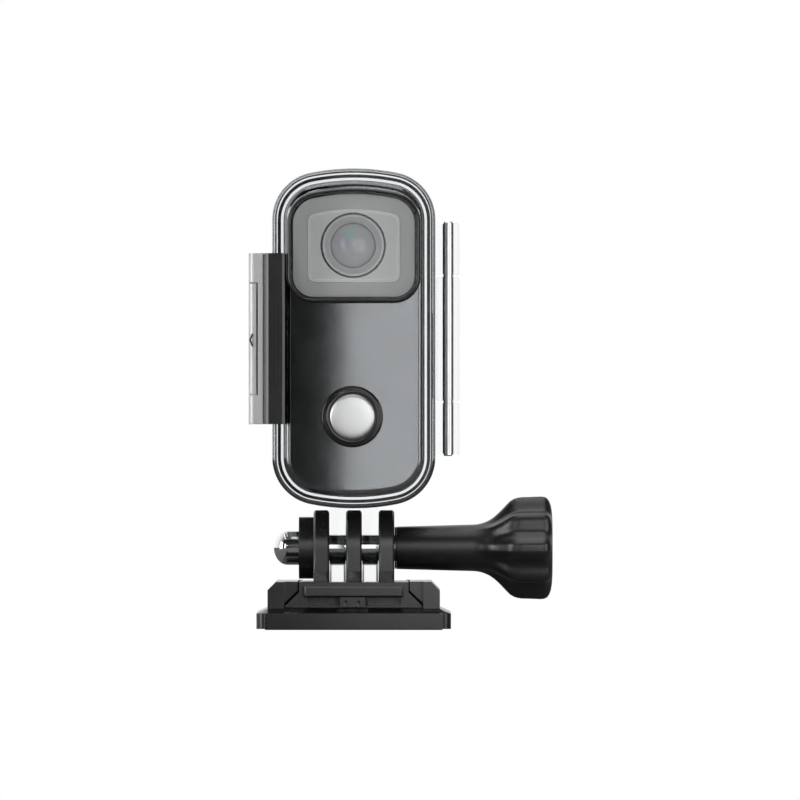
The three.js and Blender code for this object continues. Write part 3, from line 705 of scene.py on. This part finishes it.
piece("hinge_rod", mesh, "case", PIN_STEEL_PAINTED_LIGHT, ["hinge_pin"])
mesh = pin(LATCH_PIVOT, 0.7, latch_pin_box.z0, latch_pin_box.z1)
piece("latch_rod", mesh, "door", PIN_STEEL_PAINTED_LIGHT, ["latch_pin"])


# ---- Camera

def camera_front():
    """The front half of the body. Its face is slightly bowed across, as a pressed metal front is."""
    face, edge, bow = body_box.y0, 1.2, 0.22
    rim = [(0, body_box.y1)] + rounding(0, face, edge, 1, 8)
    loops = [at_y(outline(CAMERA, d), y) for d, y in rim]
    middle = (CAMERA["top"] + CAMERA["bottom"]) / 2
    for scale in (0.97, 0.9, 0.8, 0.7, 0.6, 0.5, 0.4, 0.3, 0.2, 0.1, 0.03):
        loops.append([(x * scale, face, middle + (z - middle) * scale) for x, z in outline(CAMERA, edge)])
    made = loft(loops)
    half = CAMERA["half"] - edge
    for vertex in made.vertices:
        x = vertex.co.x / MM
        if vertex.co.y / MM < face + edge + 0.01:
            vertex.co.y += bow * (x / half) ** 2 * MM
    return cut(
        made,
        plate(CAMERA, face + 1.5, body_box.y1 + 3, inset=BODY_WALL),
        plate(WINDOW, face - 2, face + 0.9, inset=-0.55),
        round_bore(LENS, 5.6, face - 2, face + 3, at_y),
        round_bore(BUTTON, 2.75, face - 2, face + 3, at_y),
    )


def camera_back():
    """The rear half of the body, with the opening for the port cover in its side."""
    made = cup(CAMERA, back_box.y1, back_box.y0, BODY_WALL, -1, 1.2, 0.5)
    return cut(made, block(12.1, 20, 2.4, 8.6, 43.9, 60.1))


def lens_cover():
    face = body_box.y0 - 0.35
    back = body_box.y0 + 0.85
    slab = plate(WINDOW, face, back, 0.15, 0, -0.5)
    return cut(slab, plate(MASK, face - 2, body_box.y0 + 2, inset=-LINE_OUTSET - 0.04))


def lens_surround():
    """The arched rectangle round the lens, a little behind its two raised lines."""
    face = mask_box.y0 + 0.16
    profile = [(-LINE_OUTSET, mask_box.y1), (-LINE_OUTSET, face), (1.2, face)]
    made = loft([at_y(outline(MASK, d), y) for d, y in profile])
    return cut(made, round_bore(LENS, RIM_R + 0.1, -20, 0, at_y))


def surround_line():
    return ring_of(MASK, -LINE_OUTSET, -0.12, mask_box.y0, mask_box.y0 + 0.3, 0.08)


def surround_inner_line():
    return ring_of(MASK, 0.02, 0.17, mask_box.y0 + 0.02, mask_box.y0 + 0.4, 0.05)


def lens_rim():
    """The barrel's front edge, a thin dark lip."""
    front, back = ring_box.y0, ring_box.y1
    inner = RIM_R - 0.27
    return revolve([
        (inner, back), (RIM_R, back), (RIM_R, front + 0.1),
        (6.08, front), (5.95, front), (inner, front + 0.1),
    ], LENS, "Y", 128)


def lens_cone():
    """The soft grey ring between the lip and the front glass."""
    front, back = ring_box.y0 + 0.25, ring_box.y1
    return revolve([
        (5.42, back), (5.86, back), (5.86, front),
        (5.8, front - 0.05), (5.6, front - 0.02), (5.42, front + 0.05),
    ], LENS, "Y", 128)


def inner_cone():
    """The ring between the front glass and the inner lens, stepped down to the inner lens."""
    front = glass_box.y0 + 0.37
    back = front + 1.6
    return revolve([
        (4.25, back), (5.4, back), (5.4, front), (4.5, front + 0.25), (4.4, front + 0.4), (4.25, front + 0.6),
    ], LENS, "Y", 128)


def lens_element(r, tip, rise, back):
    """A lens: a shallow sphere in front that rises by rise to its tip, a short edge and a flat back."""
    ball = (r * r + rise * rise) / (2 * rise)
    reach = math.asin(r / ball)
    edge, steps = tip + rise, 10
    corners = []
    for i in range(steps + 1):
        a = reach * i / steps
        corners.append((max(ball * math.sin(a), 0.0), edge + ball * (math.cos(reach) - math.cos(a))))
    return revolve(corners + [(r, back), (0, back)], LENS, "Y", 96)


piece("camera_front", camera_front(), "case", BODY_PAINT, ["camera_front_shell"], angle=40)
piece("camera_back", camera_back(), "case", BODY_PAINT, ["camera_rear_shell"], angle=40)
piece("lens_cover_plate", lens_cover(), "case", COVER, ["lens_panel"], angle=40)
piece("lens_surround", lens_surround(), "case", COVER_LIGHT, ["lens_mask"], angle=30)
piece("surround_line", surround_line(), "case", LINE_GREY)
piece("surround_inner_line", surround_inner_line(), "case", LINE_GREY)
piece("lens_rim", lens_rim(), "case", BLACK_GLOSS, ["lens_ring"])
piece("lens_cone", lens_cone(), "case", COVER_LIGHT)
mesh = lens_element(GLASS_R, glass_box.y0, 0.1, glass_box.y0 + 0.35)
piece("lens_front_element", mesh, "case", FRONT_LENS, ["front_glass"])
piece("lens_inner_cone", inner_cone(), "case", COVER_LIGHT)
mesh = lens_element(INNER_GLASS_R, inner_box.y0, 1.15, inner_box.y1)
piece("lens_inner_element", mesh, "case", LENS_GLASS_PAINTED_GLINTS, ["inner_lens"])


# ---- Button

def button_ring():
    """The collar: two raised rings in front, a bore for the cap and one for the stem with its O-ring."""
    front, back, seat = collar_box.y0, collar_box.y1, -12.53
    rings = [
        (4.45, front + 0.15), (4.5, front + 0.04), (4.62, front), (4.82, front), (4.9, front + 0.05),
        (4.95, front + 0.2), (5.1, front + 0.22), (5.16, front + 0.1), (5.24, front + 0.06),
        (5.42, front + 0.08), (5.5, front + 0.2), (5.6, front + 0.24), (5.7, front + 0.3),
        (5.8, front + 0.42), (5.85, front + 0.6),
    ]
    well = [(1.32, -12.3), (4.45, -12.3)]
    sleeve = [
        (5.85, seat), (4.9, seat), (4.9, -12.05), (3.2, -12.05),
        (3.2, back), (2.2, back), (2.2, -11.9), (1.32, -11.9),
    ]
    return revolve(well + rings + sleeve, BUTTON, "Y", 128)


def button_face():
    """The silver cap: a shallow dome with a rounded edge."""
    front, back = cap_box.y0, cap_box.y1
    return revolve([
        (0, front), (1.5, front + 0.01), (2.8, front + 0.05), (3.6, front + 0.12), (3.95, front + 0.2),
        (4.15, front + 0.32), (4.25, front + 0.48), (4.25, back), (0, back),
    ], BUTTON, "Y", 128)


piece("button_ring", button_ring(), "case", BLACK_GLOSS, ["button_collar"], angle=25)
piece("button_face", button_face(), "case_button", STEEL, ["button_cap"])
mesh = copy_of("button_spring", 0.01)
press_spring = piece("press_spring", mesh, "case", STEEL, ["button_spring"], angle=60)
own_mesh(press_spring)


# ---- Latch

def latch_bar():
    """The swinging clip: a bar down the side whose round heel turns on the pin, open for the slider."""
    r = (clip_box.x1 - clip_box.x0) / 2
    soft = 1.3
    plan = arc(*LATCH_PIVOT, r, 0, math.pi, 24)
    plan += arc(clip_box.x0 + soft, clip_box.y0 + soft, soft, math.pi, 1.45 * math.pi, 8)
    plan += [(clip_box.x1 - 0.2, clip_box.y0), (clip_box.x1, clip_box.y0 + 0.2)]
    bar = prism(plan, clip_box.z0, clip_box.z1, at_z)
    heel = LATCH_PIVOT[1] - 2.1
    room = [block(-22, -16, heel, 12, low - 0.25, high + 0.25) for low, high in LATCH_LUGS]
    s = slider_box
    track = block(-22, s.x1 + 0.28, clip_box.y0 - 1, s.y1 + 2.8, s.z0 - 0.15, s.z1 + 0.15)
    return cut(bar, *room, track, round_bore(LATCH_PIVOT, LATCH_BORE, 38, 73, at_z, 32))


def latch_slide():
    """The slider: a block with one rounded edge and five grip grooves along its outer face."""
    soft = 1.2
    s = slider_box
    plan = [(s.x1, s.y1), (s.x0, s.y1)]
    plan += arc(s.x0 + soft, s.y0 + soft, soft, math.pi, 1.42 * math.pi, 8) + [(s.x1, s.y0)]
    grooves = []
    for i in range(5):
        start = s.y0 + 2.2 + 1.5 * i
        grooves.append(block(s.x0 - 1, s.x0 + 0.3, start, s.y0 + 2.9 + 1.5 * i, s.z0 + 3, s.z1 - 3))
    return cut(prism(plan, s.z0, s.z1, at_z), *grooves)


def track_gap_shade():
    """A black block in the slider's track: painted shade that darkens the gap beside the slider."""
    s = slider_box
    return block(s.x1 + 0.04, s.x1 + 0.27, s.y0 + 0.25, s.y1, s.z0 - 0.1, s.z1 + 0.1)


def latch_keeper():
    """The bracket on the front rim, with four fine grooves down its face."""
    front, rear, left, right = catch_box.y0, catch_box.y1, catch_box.x0, catch_box.x1
    step = CASE_FACE - 0.05
    plan = [
        (left, front + 0.9), (left + 0.25, front + 0.35), (left + 0.8, front), (right - 0.5, front),
        (right, front + 0.35), (right, step), (-15.6, step), (-15.6, rear), (left, rear),
    ]
    lines = (-16.0, -15.25, -14.5, -13.75)
    grooves = [block(x - 0.18, x + 0.18, front - 1, front + 0.25, 46, 61) for x in lines]
    return cut(prism(plan, catch_box.z0, catch_box.z1, at_z), *grooves)


piece("latch_bar", latch_bar(), "latch", LATCH_GREY, ["latch_clip"], bevel=0.18)
piece("latch_slide", latch_slide(), "slider", LATCH_GREY, ["lock_slider"], bevel=0.12)
# A black block that stands in for the shade in the slider's gap.
piece("track_gap_shade", track_gap_shade(), "latch", RUBBER)
piece("latch_keeper", latch_keeper(), "case", BLACK_GLOSS, ["latch_catch"], bevel=0.12)


# ---- Buckle, base and screw

def buckle_body():
    """The buckle with open hollows under its front lip, on each side of the small middle tab."""
    hollows = [block(left, right, -18.6, -13.2, 4.62, 6.15) for left, right in ((-8.9, -3.1), (2.7, 8.9))]
    return cut(copy_of("buckle"), *hollows)


def washer_ring():
    low, high, bore, r, soft = 7.74, 8.04, SCREW_R + 0.06, 4.0, 0.06
    corners = [(bore, low), (r - soft, low), (r, low + soft), (r, high), (bore, high)]
    return revolve(corners, (0, TILT_Z), "X", 96)


def dome_nut():
    """The captive nut: a hexagon in the buckle's boss, and a round cap with a domed end."""
    tip, start = nut_box.x0, -10.3
    shoulder = tip + 2.6
    turn = arc(0, 0, 1, 0, math.pi / 2, 12)[:-1]
    end = [(NUT_R * c, shoulder - (shoulder - tip) * s) for c, s in turn] + [(0, tip)]
    cap = revolve([(0, start + 1), (NUT_R, start + 1), (NUT_R, start)] + end, (0, TILT_Z), "X", 64)
    hexagon = circle(0, TILT_Z, NUT_ACROSS / 2 / math.cos(math.pi / 6), 6)
    made = add(cap, prism(hexagon, -10.35, nut_box.x1, at_x))
    return cut(made, round_bore((0, TILT_Z), SCREW_R + 0.1, -14, -7, at_x))


def stud_rod():
    low, high, r = stud_box.x0, stud_box.x1, SCREW_R
    corners = [(0, low), (2.1, low), (r, low + 0.4), (r, high - 0.3), (2.2, high), (0, high)]
    return revolve(corners, (0, TILT_Z), "X", 96)


def knob_grip():
    """The knob: a slim neck that flares into four large and four small ridges."""
    x0, length, widest = knob_box.x0, 29.8, 9.65
    stations = [  # along the knob, radius, share of the ridges
        (0.0, 3.9, 0.0), (0.15, 4.05, 0.0), (5, 4.18, 0.0), (10, 4.32, 0.0), (14.6, 4.44, 0.0),
        (15.4, 4.5, 0.04), (16.2, 4.66, 0.12), (17.0, 4.93, 0.25), (17.8, 5.3, 0.4), (18.6, 5.85, 0.56),
        (19.4, 6.55, 0.7), (20.2, 7.35, 0.82), (21.0, 8.2, 0.92), (21.7, 8.9, 0.98), (22.4, 9.33, 1.0),
        (23.2, 9.58, 1.0), (24.0, 9.68, 1.0), (25.5, 9.72, 1.0), (27.6, 9.8, 1.0), (28.3, 9.72, 1.0),
        (28.8, 9.45, 1.0), (29.2, 8.9, 0.95), (29.5, 8.1, 0.85), (29.7, 7.0, 0.7), (length, 5.5, 0.0),
        (length, 3.0, 0.0),
    ]
    share_at = {along: share for along, _, share in stations}

    def ridged(r, along, angle):
        share = share_at[round(along - x0, 2)]
        wave = 8.475 + 0.55 * math.cos(4 * angle) + 0.775 * math.cos(8 * angle)
        return r * (1 + share * (min(wave, widest) / widest - 1))

    profile = [(0, x0)] + [(r, x0 + along) for along, r, _ in stations] + [(0, x0 + length)]
    made = revolve(profile, (0, TILT_Z), "X", 256, shape=ridged)
    return cut(made, round_bore((0, TILT_Z), SCREW_R + 0.06, 7, 24.6, at_x))


piece("washer_ring", washer_ring(), "washer", BLACK, ["thrust_washer"])
piece("buckle_body", buckle_body(), "buckle", BLACK, ["buckle"], bevel=0.22)
piece("base_body", copy_of("mount_base"), "base", BASE_BLACK, ["mount_base"], bevel=0.22)
piece("dome_nut", dome_nut(), "buckle", CHROME, ["captive_nut"], bevel=0.1)
piece("stud_rod", stud_rod(), "screw", CHROME, ["screw_stud"])
piece("knob_grip", knob_grip(), "screw", KNOB_BLACK, ["screw_knob"], angle=50)


# ---- CAD nodes that stay as they are, with finishes of their own

KEPT = {
    FOAM: ["adhesive_pad"],
    RUBBER: ["button_o_ring", "port_cover", "camera_button"],
    STEEL: ["button_stem", "stem_clip", *(f"camera_screw_{i}" for i in range(1, 5))],
    LENS_GLASS_PAINTED_GLINTS: ["rear_lens"],
    BLACK_GLOSS: ["sensor_chip"],
    BLACK: ["slider_mark", "lens_barrel", "processor", "memory_card", "button_switch"],
    BOARD: ["sensor_board", "main_board"],
    WRAP: ["battery"],
}
for material, nodes in KEPT.items():
    for node in nodes:
        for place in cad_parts[node].material_slots:
            place.material = material


# ---- Stage, light and camera

def stage_floor():
    """A wide pale floor: white to look at, and a dim grey to the light and the reflections."""
    side = 2.5
    mesh = bpy.data.meshes.new("floor")
    corners = [(-side, -side, 0), (side, -side, 0), (side, side, 0), (-side, side, 0)]
    mesh.from_pydata(corners, [], [(0, 1, 2, 3)])
    floor = helper(mesh)
    material = bpy.data.materials.new("pale_floor")
    material.use_nodes = True
    tree = material.node_tree
    tree.nodes.clear()
    seen = tree.nodes.new("ShaderNodeEmission")
    seen.inputs["Strength"].default_value = 1.0
    lit = tree.nodes.new("ShaderNodeBsdfDiffuse")
    lit.inputs["Color"].default_value = (*grey(0.2), 1)
    output = tree.nodes.new("ShaderNodeOutputMaterial")
    looked_at = any_ray(tree, "Is Camera Ray", "Is Transmission Ray")
    output_mix(tree, looked_at, lit.outputs["BSDF"], seen.outputs["Emission"], output)
    mesh.materials.append(material)


def area_light(name, place, target, width, height, power):
    data = bpy.data.lights.new(name, "AREA")
    data.shape = "RECTANGLE"
    data.size = width
    data.size_y = height
    data.energy = power
    light = bpy.data.objects.new(name, data)
    light.location = place
    light.visible_camera = False
    light.rotation_euler = (Vector(target) - Vector(place)).to_track_quat("-Z", "Y").to_euler()
    bpy.context.scene.collection.objects.link(light)


def world_light():
    """White to look at and to see through. In reflections it is bright behind and at the left, else dark."""
    world = bpy.data.worlds.new("studio")
    bpy.context.scene.world = world
    world.use_nodes = True
    tree = world.node_tree
    tree.nodes.clear()
    toward = tree.nodes.new("ShaderNodeVectorMath")
    toward.operation = "DOT_PRODUCT"
    toward.inputs[1].default_value = (-0.55, 0.8, 0.2)
    tree.links.new(tree.nodes.new("ShaderNodeTexCoord").outputs["Generated"], toward.inputs[0])
    ramp = tree.nodes.new("ShaderNodeMapRange")
    ramp.inputs["From Min"].default_value = 0.1
    ramp.inputs["From Max"].default_value = 0.9
    ramp.inputs["To Min"].default_value = 0.02
    ramp.inputs["To Max"].default_value = 1.1
    tree.links.new(toward.outputs["Value"], ramp.inputs["Value"])
    dim = tree.nodes.new("ShaderNodeBackground")
    dim.inputs["Color"].default_value = (*grey(1.0), 1)
    tree.links.new(ramp.outputs["Result"], dim.inputs["Strength"])
    white = tree.nodes.new("ShaderNodeBackground")
    white.inputs["Color"].default_value = (*grey(1.0), 1)
    white.inputs["Strength"].default_value = 1.0
    output = tree.nodes.new("ShaderNodeOutputWorld")
    looked_at = any_ray(tree, "Is Camera Ray", "Is Transmission Ray")
    output_mix(tree, looked_at, dim.outputs["Background"], white.outputs["Background"], output)


def photo_camera():
    """A long lens straight in front, as in the photograph: the view is view_width wide at the distance."""
    view_width, distance = 0.152, 3.0
    data = bpy.data.cameras.new("photo_view")
    data.sensor_width = 36
    data.lens = data.sensor_width * distance / view_width
    data.clip_start = 0.1
    data.clip_end = 50
    camera = bpy.data.objects.new("photo_view", data)
    camera.location = (0.00878, -distance - 0.012, 0.0436)
    camera.rotation_euler = (math.pi / 2, 0, 0)
    bpy.context.scene.collection.objects.link(camera)
    bpy.context.scene.camera = camera


stage_floor()
area_light("key", (0.0745, -0.25, 0.072), (0.0745, 0, 0.072), 0.16, 0.16, 0.14)
area_light("right_strip", (0.17, -0.1, 0.06), (0.0, 0, 0.03), 0.1, 0.14, 0.09)
area_light("top", (0.0, -0.02, 0.55), (0, 0, 0.04), 0.5, 0.5, 1.0)
area_light("left", (-0.25, -0.1, 0.07), (0, 0, 0.05), 0.12, 0.2, 0.3)
area_light("front_left", (-0.22, -0.42, 0.09), (0, 0, 0.02), 0.1, 0.3, 0.22)
area_light("spark", (-0.12, -1.0, 0.3), (0, 0, 0.06), 0.05, 0.05, 0.12)
world_light()
photo_camera()
bpy.context.scene.view_settings.view_transform = "Standard"
